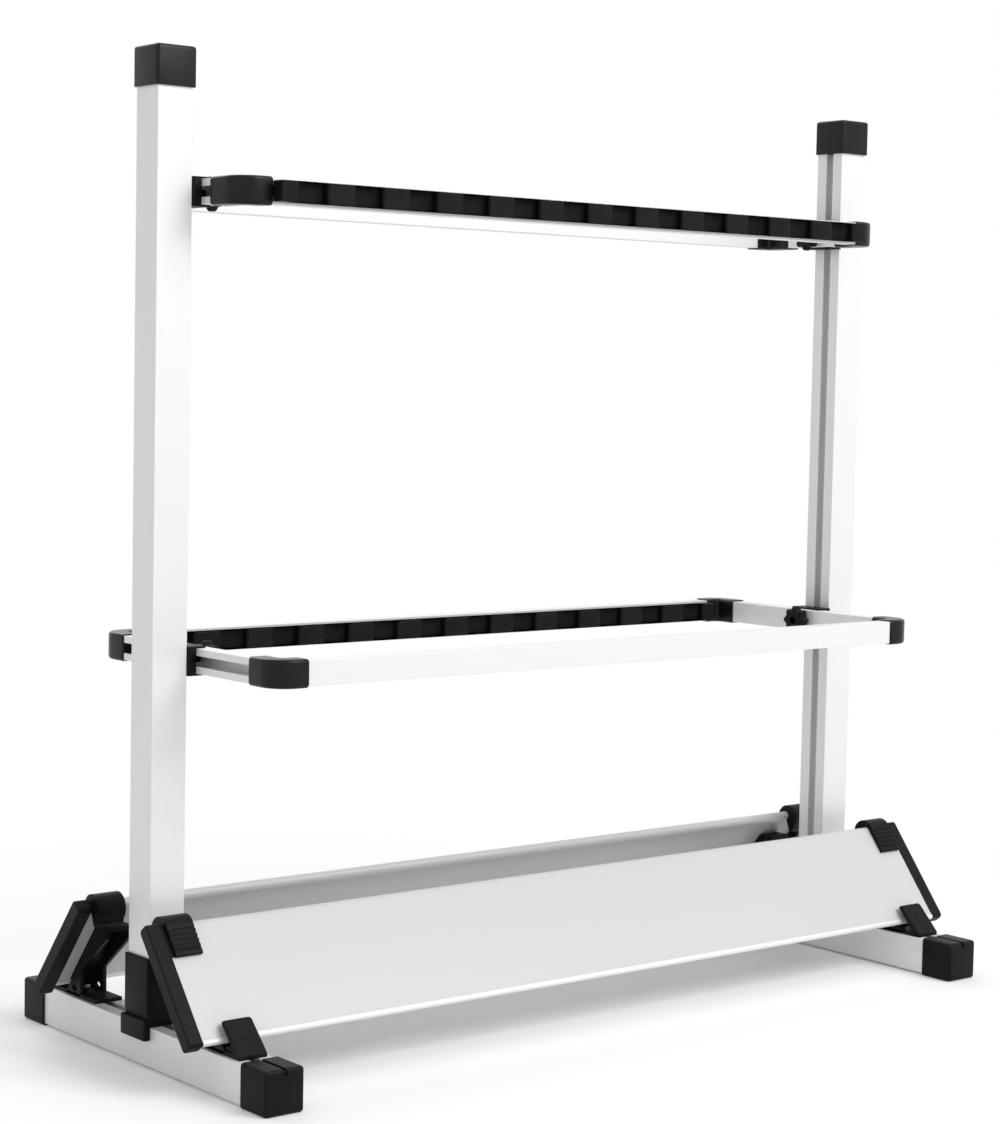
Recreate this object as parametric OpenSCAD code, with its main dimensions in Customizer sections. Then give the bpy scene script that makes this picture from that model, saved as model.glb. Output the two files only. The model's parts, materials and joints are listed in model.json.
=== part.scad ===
/* [Whole rack] */
// Distance between the outer faces of the two uprights
rack_w = 750; // [600:1:900]
// Height from the floor to the top of the upright caps
rack_h = 760; // [620:1:900]
// Length of each foot over its two end caps
foot_len = 348; // [320:1:420]

/* [Aluminium sections] */
// Side of the square section of the feet and uprights
tube = 30; // [28:0.5:36]
// Wall of the square section
tube_wall = 2; // [1.4:0.1:3]
// Width of the slot opening in every section
slot_w = 8; // [7:0.1:9]
// Width of the space behind the slot lips
slot_in = 14; // [12:0.5:15]
// Depth of the slot from the face of the section
slot_deep = 7; // [6:0.5:9]
// Height of the frame bars
bar_h = 19; // [18:0.5:24]
// Depth of the frame bars
bar_d = 14; // [13:0.5:18]
// Wall of the frame bars
bar_wall = 1.6; // [1.2:0.1:2.4]

/* [End caps] */
// Length of the foot end caps
foot_cap_len = 32; // [26:1:44]
// How far the foot end caps stand proud of the foot
foot_cap_over = 1.8; // [1.2:0.1:3]
// Height of the upright caps
post_cap_h = 30; // [20:1:40]
// How far the upright caps stand proud of the upright
post_cap_over = 1; // [0.6:0.1:2]
// Rounding of the edges of the caps
cap_round = 3; // [1.5:0.1:4]
// Width of the groove in the foot caps
groove_w = 2.6; // [1:0.1:4]

/* [Upright sockets] */
// Height of the socket above the foot
socket_h = 52; // [36:1:80]
// Wall of the socket at its left and right sides
socket_wall = 2.6; // [2:0.1:4]
// Wall of the socket at its front and back
socket_thin = 1.2; // [1:0.1:3]
// How far the collar stands out from the left and right sides of the upright
collar_side = 5.5; // [4.5:0.1:7]
// How far the collar stands out from the front and back of the upright
collar_front = 2.2; // [1.8:0.1:4]
// Depth of the skirt that hooks over the foot
skirt_h = 10; // [6:0.5:14]
// Height of the collar above the top of the foot
collar_h = 6; // [4:0.5:10]

/* [Frames] */
// Height of the corner pieces
corner_h = 21.5; // [20:0.5:28]
// Plan radius of the corner pieces
corner_r = 20; // [18:0.5:24]
// Rounding of the rims of the corner pieces
corner_round = 2.6; // [1:0.1:4]
// Length of a corner piece along the long bar
corner_x = 30; // [28:0.5:40]
// Height of the middle frame above the floor, at its centre line
mid_z = 305.5; // [240:0.5:420]
// Depth of the middle frame over its corner pieces
mid_d = 248; // [220:1:320]
// Length of a middle corner piece along the side bar
mid_corner_y = 36; // [30:0.5:44]
// Distance from the top of the rack down to the centre line of the top frame
top_drop = 105.5; // [50:0.5:160]
// Depth of the top frame over its corner pieces
top_d = 138; // [134:1:180]
// Length of a top corner piece along the side bar
top_corner_y = 40; // [30:0.5:41]

/* [Rod strips] */
// Number of rod notches in each strip
notches = 12; // [8:1:12]
// Width of the two end teeth of each strip
end_tooth = 15; // [8:0.5:24]
// Width of a notch
notch_w = 25; // [20:0.5:28]
// Depth of a notch
notch_deep = 9; // [6:0.5:11]
// Radius in the bottom corners of a notch
notch_r = 5; // [2:0.5:8]
// Rounding of the teeth between the notches
tooth_r = 2.5; // [1:0.5:4]
// Height of the strips
strip_h = 15.5; // [12:0.5:17]
// How far the strips stand out from their bars
strip_out = 12; // [10:0.5:16]

/* [Clamps] */
// Width of the clamp blocks across the upright
clamp_w = 34; // [30:1:60]
// Thickness of the clamp blocks between a side bar and its upright
clamp_t = 7.25; // [4:0.25:14]
// Thickness of the clamp blocks over and under the side bar
clamp_flange = 1.5; // [1:0.1:2.5]
// Radius of the star knobs over their lobes
knob_r = 13; // [11:0.5:16]
// Thickness of the star knobs
knob_t = 10; // [8:0.5:14]
// Number of lobes on a star knob
lobes = 8; // [6:1:10]
// Radius of the studs of the star knobs
stud_r = 3; // [2.5:0.1:3.5]

/* [Trays] */
// How far each tray reaches past the outer faces of the uprights, without its end caps
tray_over = 14; // [8:0.5:24]
// Distance of the bead of each tray from the end of the foot, along the foot
tray_in = 122.5; // [112:0.5:130]
// Height of the bead above the floor
bead_z = 113; // [100:0.5:140]
// Slope of the trays from level, in degrees
tray_slope = 51.5; // [46:0.5:56]
// Width of the trays from bead to lip
tray_w = 92; // [84:1:100]
// Radius of the bead
bead_r = 4; // [3.5:0.1:5]
// Radius of the rolled lip
lip_r = 2.8; // [2:0.1:3.2]
// Thickness of the tray sheet
tray_t = 2.2; // [1.6:0.1:3]
// Width of the tray end caps
tray_cap_w = 12.5; // [8:0.5:16]
// Thickness of the tray end caps, square to the tray
tray_cap_t = 11.5; // [10.5:0.5:15]

/* [Brackets and latches] */
// Width of the tray brackets
bracket_w = 23.5; // [20:0.5:28]
// Thickness of the bracket's base plate and clip
plate_t = 3; // [2.4:0.1:4]
// Distance from the tray's lip to the bottom of the clip
clip_out = 23.5; // [20:0.5:28]
// Height of the clip above the foot
clip_h = 25; // [18:0.5:28]
// Width of the latches
latch_w = 23; // [16:0.5:24]
// Distance from the end of the tray to the latch
latch_gap = 1.8; // [1:0.1:8]
// Outer radius of the hook of the latch
latch_r = 11.6; // [10.8:0.1:13]
// Length of the latch's thumb piece from the bead
latch_len = 24.8; // [20:0.1:34]
// Thickness of the latch's thumb piece at its end
latch_t = 3; // [2.4:0.1:4.4]
// Number of grip grooves on a latch
grooves = 4; // [3:1:6]
// Angle through which a latch turns when it is opened, in degrees
latch_turn = 50; // [30:1:55]

/* [Fits] */
// Gap between parts that plug together
fit_gap = 0.1; // [0.05:0.05:0.3]
// Radial gap of the bead and studs in what turns on them
turn_gap = 0.05; // [0.03:0.01:0.1]
// Gap between a sliding frame's clamp and its upright
slide_gap = 0.15; // [0.1:0.05:0.3]

/* [Hidden] */
$fn = 48;

alu = "silver";
plastic = "dimgray";
steel = "gainsboro";
// centre line of the uprights and feet
post_x = (rack_w - tube) / 2;
foot_z0 = foot_cap_over;
foot_top = foot_z0 + tube;
post_face = post_x - tube / 2;
// wall of a corner piece around a bar, length of the frames and outer face of their side bars
corner_wall = (corner_h - bar_h) / 2;
frame_w = rack_w - 2 * tube - 2 * clamp_t + 2 * corner_wall;
bar_x = frame_w / 2 - corner_wall;
long_bar = frame_w - 2 * corner_r - 2;
strip_len = frame_w - 2 * corner_x - 2;
// distance from one notch to the next
pitch = (strip_len - 2 * end_tooth - notch_w) / (notches - 1);
// faces of the long bars that the strips sit on
mid_inner = mid_d / 2 - corner_wall - bar_d;
top_outer = top_d / 2 - corner_wall;
top_z = rack_h - top_drop;
// length of the trays between their end caps, and the distance of their beads from the middle
tray_len = rack_w + 2 * tray_over;
bead_y = foot_len / 2 - tray_in;
eps = 0.02;

// cross sections and blocks
module slotted_square() {
    difference() {
        square(tube, center = true);
        // the slot is in the top face of the section
        translate([-slot_w / 2, tube / 2 - tube_wall - eps]) square([slot_w, tube_wall + 1]);
        translate([-slot_in / 2, tube / 2 - slot_deep]) square([slot_in, slot_deep - tube_wall]);
        // the hollow below the slot
        translate([-tube / 2 + tube_wall, -tube / 2 + tube_wall])
            square([tube - 2 * tube_wall, tube - slot_deep - 2 * tube_wall]);
    }
}

module bar_section() {
    // the back of the bar is on the x axis and its slot opens upwards
    difference() {
        translate([-bar_h / 2, 0]) square([bar_h, bar_d]);
        translate([-slot_w / 2, bar_d - bar_wall - eps]) square([slot_w, bar_wall + 1]);
        translate([-bar_h / 2 + bar_wall, bar_wall]) square([bar_h - 2 * bar_wall, bar_d - 2 * bar_wall]);
    }
}

module rounded_rect(w, h, r) {
    translate([r, 0]) square([w - 2 * r, h]);
    translate([0, r]) square([w, h - 2 * r]);
    for (x = [r, w - r], y = [r, h - r]) translate([x, y]) circle(r);
}

// a block with every edge rounded, centred in x and y and standing on z = 0
module soft_block(x, y, z, r) {
    intersection() {
        translate([-x / 2, -y / 2, 0]) linear_extrude(z) rounded_rect(x, y, r);
        translate([-x / 2, y / 2, 0]) rotate([90, 0, 0]) linear_extrude(y) rounded_rect(x, z, r);
        translate([x / 2, -y / 2, 0]) rotate([0, -90, 0]) linear_extrude(x) rounded_rect(z, y, r);
    }
}

// feet and their end caps
module foot(side) {
    plug = foot_len / 2 - foot_cap_over;
    color(alu)
    translate([side * post_x, plug, foot_z0 + tube / 2]) rotate([90, 0, 0]) linear_extrude(2 * plug) slotted_square();
}

module foot_cap(side, end) {
    size = tube + 2 * foot_cap_over;
    color(plastic)
    translate([side * post_x, 0, 0]) scale([1, end, 1])
    difference() {
        translate([0, (foot_len - foot_cap_len - cap_round) / 2, 0])
            soft_block(size, foot_cap_len + cap_round, size, cap_round);
        // the open end is cut square
        translate([-size, foot_len / 2 - foot_cap_len - 2 * cap_round, -1])
            cube([2 * size, 2 * cap_round, size + 2]);
        translate([-tube / 2 - fit_gap, foot_len / 2 - foot_cap_len - 1, foot_z0 - fit_gap])
            cube([tube + 2 * fit_gap, foot_cap_len + 1 - foot_cap_over, tube + 2 * fit_gap]);
        // the groove runs along the top and a little way down the end
        translate([-groove_w / 2, foot_len / 2 - foot_cap_len - 1, size - 1.2])
            cube([groove_w, foot_cap_len + 2, 2]);
        translate([-groove_w / 2, foot_len / 2 - 1.2, size * 0.79]) cube([groove_w, 2, size]);
    }
}

// uprights with their caps and sockets
module upright(side) {
    color(alu)
    translate([side * post_x, 0, foot_top]) rotate([0, 0, side * 90])
        linear_extrude(rack_h - post_cap_over - foot_top) slotted_square();
}

module upright_cap(side) {
    size = tube + 2 * post_cap_over;
    color(plastic)
    translate([side * post_x, 0, rack_h - post_cap_h])
    difference() {
        translate([0, 0, -cap_round]) soft_block(size, size, post_cap_h + cap_round, cap_round);
        translate([-size / 2 - 1, -size / 2 - 1, -2 * cap_round]) cube([size + 2, size + 2, 2 * cap_round]);
        translate([-tube / 2 - fit_gap, -tube / 2 - fit_gap, -1])
            cube([tube + 2 * fit_gap, tube + 2 * fit_gap, post_cap_h + 1 - post_cap_over]);
    }
}

module socket(side) {
    out_x = tube / 2 + socket_wall;
    out_y = tube / 2 + socket_thin;
    lip_x = tube / 2 + collar_side;
    lip_y2 = tube / 2 + collar_front;
    color(plastic)
    translate([side * post_x, 0, foot_top])
    difference() {
        union() {
            translate([-out_x, -out_y, 0]) linear_extrude(socket_h) rounded_rect(2 * out_x, 2 * out_y, 1.2);
            translate([-lip_x, -lip_y2, -skirt_h])
                linear_extrude(skirt_h + collar_h) rounded_rect(2 * lip_x, 2 * lip_y2, 1.5);
        }
        // the upright stands in the sleeve
        translate([-tube / 2 - fit_gap, -tube / 2 - fit_gap, -eps])
            cube([tube + 2 * fit_gap, tube + 2 * fit_gap, socket_h + 1]);
        // the skirt sits astride the foot
        translate([-tube / 2 - fit_gap, -tube, -skirt_h - 1]) cube([tube + 2 * fit_gap, 2 * tube, skirt_h + 1]);
    }
}

// trays and their end caps
// u runs down the slope from the bead and v stands square to the tray, outwards
tray_v = bead_r - tray_t;
lip_v = tray_v + tray_t / 2;

module sheet_profile(gap = 0) {
    circle(bead_r + gap);
    translate([-gap, tray_v - gap]) square([tray_w + 2 * gap, tray_t + 2 * gap]);
}

// puts a shape drawn in u and v on the slope of the front (end -1) or rear (end 1) tray
module on_tray(end, x0, x1) {
    scale([1, end, 1])
    translate([x0, bead_y, bead_z]) rotate([-tray_slope, 0, 0]) rotate([90, 0, 90]) linear_extrude(x1 - x0) children();
}

module tray(end) {
    half = tray_len / 2 + tray_cap_w - 3;
    lip_half = tray_len / 2 - fit_gap;
    color("lightgray") {
        on_tray(end, -half, half) sheet_profile();
        // the rolled lip stops at the end caps
        on_tray(end, -lip_half, lip_half) translate([tray_w, lip_v]) circle(lip_r);
    }
}

module tray_cap(side, end) {
    inner = tray_len / 2;
    outer = inner + tray_cap_w;
    // the cap covers the bead with a thin wall
    high = bead_r + fit_gap + 0.8;
    color(plastic)
    scale([side, 1, 1])
    difference() {
        on_tray(end, inner, outer) translate([-bead_r - 1, high - tray_cap_t])
            rounded_rect(tray_w + bead_r + 3.7, tray_cap_t, 3);
        on_tray(end, inner - 1, outer - 3 + fit_gap) sheet_profile(fit_gap);
    }
}

// brackets between the trays and the feet
function uv_y(u, v) = bead_y + u * cos(tray_slope) + v * sin(tray_slope);
function uv_z(u, v) = bead_z - u * sin(tray_slope) + v * cos(tray_slope);
lip_y = uv_y(tray_w, tray_v);
plate_y0 = uv_y(tray_w, tray_v) - 42;
clip_y = lip_y + clip_out;
leg_y = lip_y - 15;
seat_z = uv_z(tray_w, lip_v) - lip_r - fit_gap;
// shelf under the latch: its height, its inner end and where it meets the tray
shelf_z = bead_z - latch_r - 7.4;
shelf_y = bead_y + 2;
rest_u = (bead_z - shelf_z + tray_v * cos(tray_slope)) / sin(tray_slope);
// the screw stands between the two webs, in a shallow seat in the base plate
screw_y = leg_y + 3;
screw_z = foot_top + plate_t - 0.2;

// base plate with the leaning clip that holds the tray's lip down
module bracket_base() {
    polygon([[plate_y0, foot_top], [clip_y, foot_top], [clip_y, foot_top + plate_t],
             [clip_y - clip_h * 0.92 + 1, foot_top + clip_h],
             [clip_y - clip_h * 0.92 - 3, foot_top + clip_h - 1.4],
             [clip_y - 7, foot_top + plate_t], [plate_y0, foot_top + plate_t]]);
}

// support along the underside of the tray, with its shelf and leg
module bracket_web() {
    difference() {
        polygon([[uv_y(rest_u, tray_v), shelf_z],
                 [uv_y(tray_w - 4, tray_v), uv_z(tray_w - 4, tray_v)],
                 [lip_y - 2, foot_top + 1],
                 [leg_y - 3, foot_top + 1],
                 [leg_y - 3, foot_top + 22],
                 [shelf_y, shelf_z - 9],
                 [shelf_y, shelf_z]]);
        translate([leg_y + 1.5, foot_top + 10]) circle(2.6);
    }
}

module bracket(side, end) {
    color(plastic)
    scale([side, end, 1])
    difference() {
        translate([post_x - bracket_w / 2, 0, 0]) rotate([90, 0, 90]) {
            linear_extrude(bracket_w) bracket_base();
            linear_extrude(bracket_w) bracket_web();
            // seat under the lip
            translate([lip_y - 4, foot_top + 1, 0]) cube([6, seat_z - foot_top - 1, bracket_w]);
        }
        // hole for the screw
        translate([post_x, screw_y, foot_top - 1]) cylinder(r = 2.2, h = plate_t + 2);
        // the support is open between its two webs, down to the base plate
        translate([post_x - bracket_w / 2 + plate_t, 0, 0]) rotate([90, 0, 90])
            linear_extrude(bracket_w - 2 * plate_t)
            polygon([[uv_y(rest_u + 3, tray_v - 3), shelf_z - 4],
                     [uv_y(tray_w - 8, tray_v - 3), uv_z(tray_w - 8, tray_v - 3)],
                     [lip_y - 7, screw_z],
                     [leg_y - 5, screw_z],
                     [leg_y - 5, foot_top + 20],
                     [shelf_y - 3, shelf_z - 14],
                     [shelf_y - 3, shelf_z - 4]]);
    }
}

module bracket_screw_set() {
    color(steel)
    for (side = [-1, 1], end = [-1, 1])
        translate([side * post_x, end * screw_y, foot_top]) {
            difference() {
                translate([0, 0, screw_z - foot_top]) cylinder(r = 4, h = 2.4);
                translate([0, 0, screw_z - foot_top + 1]) cylinder(r = 1.7, h = 2, $fn = 6);
            }
            translate([0, 0, -4.5]) cylinder(r = 2, h = screw_z - foot_top + 4.5 + eps);
            // square nut in the slot of the foot
            translate([-6, -6, -tube_wall - 4]) cube([12, 12, 4]);
        }
}

// latches on the beads
latch_face = tray_v + tray_t + 0.35;

// thumb piece that lies on the tray
module thumb_piece() {
    polygon([[-2, latch_face - 1], [-2, latch_r - 3.3], [2, latch_r - 3.4], [7, latch_face + latch_t + 0.5],
             [latch_len - 1, latch_face + latch_t], [latch_len, latch_face + latch_t - 1],
             [latch_len - 0.3, latch_face - 1]]);
}

module latch(side, end) {
    outer = tray_len / 2 - latch_gap;
    mouth = 2 * latch_len;
    color(plastic)
    scale([side, 1, 1])
    difference() {
        union() {
            // hook round the bead, thicker on the inner side
            on_tray(end, outer - latch_w, outer) translate([-0.6, -3.1]) circle(latch_r);
            // lower jaw
            on_tray(end, outer - latch_w, outer) translate([4.6, -latch_r - 0.2]) circle(4.2);
            on_tray(end, outer - latch_w, outer) thumb_piece();
        }
        on_tray(end, outer - latch_w - 1, outer + 1) circle(bead_r + turn_gap);
        // mouth for the sheet of the tray, wide enough for the latch to turn
        on_tray(end, outer - latch_w - 1, outer + 1)
            polygon([[0, latch_face], [mouth, latch_face], [mouth, -mouth * tan(latch_turn + 10)], [0, 0]]);
        for (i = [0 : grooves - 1])
            on_tray(end, outer - latch_w - 1, outer + 1)
                translate([latch_len - 6 - i * (latch_len - 9) / grooves, latch_face + latch_t + 0.45]) circle(0.9);
    }
}

// bars, corner pieces and strips of the frames
module long_bar_piece(z, depth, end, outwards) {
    // the back of the bar is on the face away from its slot
    back = outwards ? depth / 2 - corner_wall - bar_d : depth / 2 - corner_wall;
    color(alu)
    translate([-long_bar / 2, end * back, z]) scale([1, end * (outwards ? 1 : -1), 1])
        rotate([90, 0, 90]) linear_extrude(long_bar) turn_section();
}

// the bar section turned so that its depth runs along the first axis and its height along the second
module turn_section() {
    rotate(-90) bar_section();
}

module side_bar_piece(z, depth, side) {
    reach = depth / 2 - corner_r;
    color(alu)
    translate([side * (bar_x - bar_d), reach, z]) scale([side, 1, 1])
        rotate([90, 0, 0]) linear_extrude(2 * reach) turn_section();
}

module corner_piece(z, depth, leg_y_len, side, end) {
    wide = bar_d + 2 * corner_wall;
    color(plastic)
    translate([0, 0, z - corner_h / 2]) scale([side, end, 1])
    difference() {
        union() {
            translate([frame_w / 2 - corner_r, depth / 2 - corner_r, 0])
                rotate_extrude(angle = 90) translate([corner_r - wide, 0]) rounded_rect(wide, corner_h, corner_round);
            translate([frame_w / 2 - corner_x, depth / 2 - wide, 0]) rotate([90, 0, 90])
                linear_extrude(corner_x - corner_r) rounded_rect(wide, corner_h, corner_round);
            translate([frame_w / 2 - wide, depth / 2 - corner_r, 0]) rotate([90, 0, 0])
                linear_extrude(leg_y_len - corner_r) rounded_rect(wide, corner_h, corner_round);
        }
        // sockets for the ends of the two bars
        translate([0, depth / 2 - corner_wall - bar_d - fit_gap, corner_wall - fit_gap])
            cube([long_bar / 2 + fit_gap, bar_d + 2 * fit_gap, bar_h + 2 * fit_gap]);
        translate([bar_x - bar_d - fit_gap, 0, corner_wall - fit_gap])
            cube([bar_d + 2 * fit_gap, depth / 2 - corner_r + fit_gap, bar_h + 2 * fit_gap]);
    }
}

module strip_plan() {
    base = strip_out - notch_deep;
    half = strip_len / 2;
    tooth = pitch - notch_w;
    first = -(notches - 1) / 2 * pitch;
    translate([-half, 0]) square([strip_len, base + eps]);
    // end teeth
    for (s = [-1, 1]) scale([s, 1]) translate([half - end_tooth, 0]) tooth_shape(end_tooth);
    for (i = [0 : notches - 2]) translate([first + i * pitch + notch_w / 2, 0]) tooth_shape(tooth);
    // small radius in the bottom corners of the notches
    for (i = [0 : notches - 1], s = [-1, 1])
        translate([first + i * pitch, base]) scale([s, 1]) translate([notch_w / 2 - notch_r, 0])
            difference() {
                square([notch_r + eps, notch_r]);
                translate([0, notch_r]) circle(notch_r);
            }
}

module tooth_shape(w) {
    square([w, strip_out - tooth_r]);
    translate([tooth_r, 0]) square([w - 2 * tooth_r, strip_out]);
    for (x = [tooth_r, w - tooth_r]) translate([x, strip_out - tooth_r]) circle(tooth_r);
}

// a notched strip whose back lies on the plane y = face; dir tells which way its teeth point
module strip_piece(z, face, dir) {
    color(plastic)
    translate([0, face, z]) scale([1, dir, 1]) {
        translate([0, 0, -strip_h / 2]) linear_extrude(strip_h) strip_plan();
        // rib that snaps into the slot of the bar
        translate([-strip_len / 2, -bar_wall - 2, -slot_w / 2 + fit_gap]) cube([strip_len, bar_wall + 2 + eps, slot_w - 2 * fit_gap]);
        for (s = [-1, 1]) scale([1, 1, s])
            translate([-strip_len / 2, -bar_wall - 2, 0]) cube([strip_len, 2 - fit_gap, slot_w / 2 + 1]);
    }
}

// clamps, nuts and star knobs
module clamp_piece(z, side) {
    high = bar_h / 2 + clamp_flange + fit_gap;
    from = bar_x + fit_gap;
    to = post_face - slide_gap;
    color(plastic)
    translate([0, 0, z]) scale([side, 1, 1])
    difference() {
        union() {
            translate([from, -clamp_w / 2, -high]) cube([to - from, clamp_w, 2 * high]);
            // lips over and under the side bar
            for (s = [-1, 1]) scale([1, 1, s])
                translate([bar_x - bar_d * 0.57, -clamp_w / 2, bar_h / 2 + fit_gap])
                    cube([bar_d * 0.57 + 1, clamp_w, clamp_flange]);
            // key in the slot of the upright
            translate([to - eps, -slot_w / 2 + slide_gap, -high]) cube([tube_wall - 0.2, slot_w - 2 * slide_gap, 2 * high]);
            // key in the slot of the side bar
            translate([bar_x - bar_wall, -clamp_w / 2 + 4, -slot_w / 2 + fit_gap])
                cube([bar_wall + 1, clamp_w - 8, slot_w - 2 * fit_gap]);
        }
        translate([bar_x - bar_wall - 1, 0, 0]) rotate([0, 90, 0]) cylinder(r = stud_r + 0.3, h = 30);
    }
}

module nut_piece(z, side) {
    deep = slot_deep - tube_wall - 2 * slide_gap - 1;
    color(steel)
    translate([0, 0, z]) scale([side, 1, 1])
    difference() {
        translate([post_face + tube_wall + slide_gap, -slot_in / 2 + 0.5, -9]) cube([deep, slot_in - 1, 18]);
        translate([post_face, 0, 0]) rotate([0, 90, 0]) cylinder(r = stud_r + turn_gap, h = 20);
    }
}

module knob_piece(z, side) {
    face = bar_x - bar_d - 0.3;
    tip = post_face + slot_deep - 0.8;
    color(plastic)
    translate([0, 0, z]) scale([side, 1, 1]) rotate([0, 90, 0]) {
        translate([0, 0, face - knob_t]) {
            difference() {
                union() {
                    cylinder(r = knob_r - 2.2, h = knob_t - 1);
                    for (i = [0 : lobes - 1]) rotate(i * 360 / lobes) translate([knob_r - 2.8, 0, 1]) cylinder(r = 2.8, h = knob_t - 3);
                }
                translate([0, 0, -1]) cylinder(r = knob_r - 6, h = 2.2);
            }
            translate([0, 0, knob_t - 1 - eps]) cylinder(r = 6, h = 1 + eps);
            translate([0, 0, 1]) cylinder(r = stud_r + 1.5, h = 1);
        }
        // stud
        translate([0, 0, face - 1]) cylinder(r = stud_r, h = tip - face + 1);
    }
}

// side bars carry a hole for the stud
module side_bar(z, depth, side) {
    color(alu)
    difference() {
        side_bar_piece(z, depth, side);
        translate([side * (bar_x - bar_d / 2), 0, z]) rotate([0, 90, 0]) cylinder(r = stud_r + 0.3, h = 2 * bar_d, center = true);
    }
}

// every node by name
foot(-1);  // foot_left
foot(1);  // foot_right
foot_cap(-1, -1);  // foot_cap_front_left
foot_cap(1, -1);  // foot_cap_front_right
foot_cap(-1, 1);  // foot_cap_rear_left
foot_cap(1, 1);  // foot_cap_rear_right
upright(-1);  // upright_left
upright(1);  // upright_right
upright_cap(-1);  // upright_cap_left
upright_cap(1);  // upright_cap_right
socket(-1);  // socket_left
socket(1);  // socket_right
bracket(-1, -1);  // bracket_front_left
bracket(1, -1);  // bracket_front_right
bracket(-1, 1);  // bracket_rear_left
bracket(1, 1);  // bracket_rear_right
bracket_screw_set();  // bracket_screws
tray(-1);  // tray_front
tray(1);  // tray_rear
tray_cap(-1, -1);  // tray_cap_front_left
tray_cap(1, -1);  // tray_cap_front_right
tray_cap(-1, 1);  // tray_cap_rear_left
tray_cap(1, 1);  // tray_cap_rear_right
latch(-1, -1);  // latch_front_left
latch(1, -1);  // latch_front_right
latch(-1, 1);  // latch_rear_left
latch(1, 1);  // latch_rear_right
long_bar_piece(mid_z, mid_d, -1, false);  // mid_bar_front
long_bar_piece(mid_z, mid_d, 1, false);  // mid_bar_rear
side_bar(mid_z, mid_d, -1);  // mid_bar_left
side_bar(mid_z, mid_d, 1);  // mid_bar_right
corner_piece(mid_z, mid_d, mid_corner_y, -1, -1);  // mid_corner_front_left
corner_piece(mid_z, mid_d, mid_corner_y, 1, -1);  // mid_corner_front_right
corner_piece(mid_z, mid_d, mid_corner_y, -1, 1);  // mid_corner_rear_left
corner_piece(mid_z, mid_d, mid_corner_y, 1, 1);  // mid_corner_rear_right
strip_piece(mid_z, -mid_inner, 1);  // mid_strip_front
strip_piece(mid_z, mid_inner, -1);  // mid_strip_rear
clamp_piece(mid_z, -1);  // mid_clamp_left
clamp_piece(mid_z, 1);  // mid_clamp_right
nut_piece(mid_z, -1);  // mid_nut_left
nut_piece(mid_z, 1);  // mid_nut_right
knob_piece(mid_z, -1);  // mid_knob_left
knob_piece(mid_z, 1);  // mid_knob_right
long_bar_piece(top_z, top_d, -1, true);  // top_bar_front
long_bar_piece(top_z, top_d, 1, true);  // top_bar_rear
side_bar(top_z, top_d, -1);  // top_bar_left
side_bar(top_z, top_d, 1);  // top_bar_right
corner_piece(top_z, top_d, top_corner_y, -1, -1);  // top_corner_front_left
corner_piece(top_z, top_d, top_corner_y, 1, -1);  // top_corner_front_right
corner_piece(top_z, top_d, top_corner_y, -1, 1);  // top_corner_rear_left
corner_piece(top_z, top_d, top_corner_y, 1, 1);  // top_corner_rear_right
strip_piece(top_z, -top_outer, -1);  // top_strip_front
strip_piece(top_z, top_outer, 1);  // top_strip_rear
clamp_piece(top_z, -1);  // top_clamp_left
clamp_piece(top_z, 1);  // top_clamp_right
nut_piece(top_z, -1);  // top_nut_left
nut_piece(top_z, 1);  // top_nut_right
knob_piece(top_z, -1);  // top_knob_left
knob_piece(top_z, 1);  // top_knob_right
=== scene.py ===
import json
import math
from collections import namedtuple
import bpy
import bmesh
from mathutils import Matrix, Vector

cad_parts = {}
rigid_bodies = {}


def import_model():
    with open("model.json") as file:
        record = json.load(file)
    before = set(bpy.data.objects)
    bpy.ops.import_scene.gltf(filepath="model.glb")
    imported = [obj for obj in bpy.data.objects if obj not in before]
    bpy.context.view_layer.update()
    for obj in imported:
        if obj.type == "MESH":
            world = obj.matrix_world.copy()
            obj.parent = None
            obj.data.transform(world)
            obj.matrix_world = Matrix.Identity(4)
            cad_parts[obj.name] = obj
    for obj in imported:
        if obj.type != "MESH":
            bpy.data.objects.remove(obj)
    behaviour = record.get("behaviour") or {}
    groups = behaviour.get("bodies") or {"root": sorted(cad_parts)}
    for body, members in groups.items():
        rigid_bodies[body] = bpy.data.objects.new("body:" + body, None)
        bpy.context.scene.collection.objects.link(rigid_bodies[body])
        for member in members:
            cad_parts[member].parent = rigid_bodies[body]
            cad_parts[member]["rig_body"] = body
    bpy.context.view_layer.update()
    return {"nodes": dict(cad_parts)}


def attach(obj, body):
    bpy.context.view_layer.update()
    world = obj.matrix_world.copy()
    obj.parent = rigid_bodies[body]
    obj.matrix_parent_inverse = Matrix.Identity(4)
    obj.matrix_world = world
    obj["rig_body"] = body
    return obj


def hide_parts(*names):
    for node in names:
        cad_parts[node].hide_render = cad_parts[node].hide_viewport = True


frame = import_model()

# Sizes in mm. They are the solids' own, apart from those that a comment calls the photograph's.
MM = 0.001
ENDS = {"front": -1, "rear": 1}
SIDES = {"left": -1, "right": 1}
RACK_W, RACK_H, FOOT_LEN = 750.0, 760.0, 348.0
FIT_GAP, TURN_GAP, SLIDE_GAP = 0.1, 0.05, 0.15
# how far a cutter reaches past what it cuts
PAST = 5.0

# square section of the feet and uprights, and section of the frames' bars
TUBE, TUBE_WALL, SLOT, SLOT_IN, SLOT_DEEP = 30.0, 2.0, 8.0, 14.0, 7.0
BAR_H, BAR_D, BAR_WALL = 19.0, 14.0, 1.6

# end caps of the feet; the groove's width and depths are the photograph's
FOOT_CAP_LEN, FOOT_CAP_OVER, FOOT_CAP_ROUND = 32.0, 1.8, 2.8
GROOVE_W, GROOVE_DEEP, GROOVE_IN, GROOVE_DOWN = 3.0, 1.6, 1.4, 5.2
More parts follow.
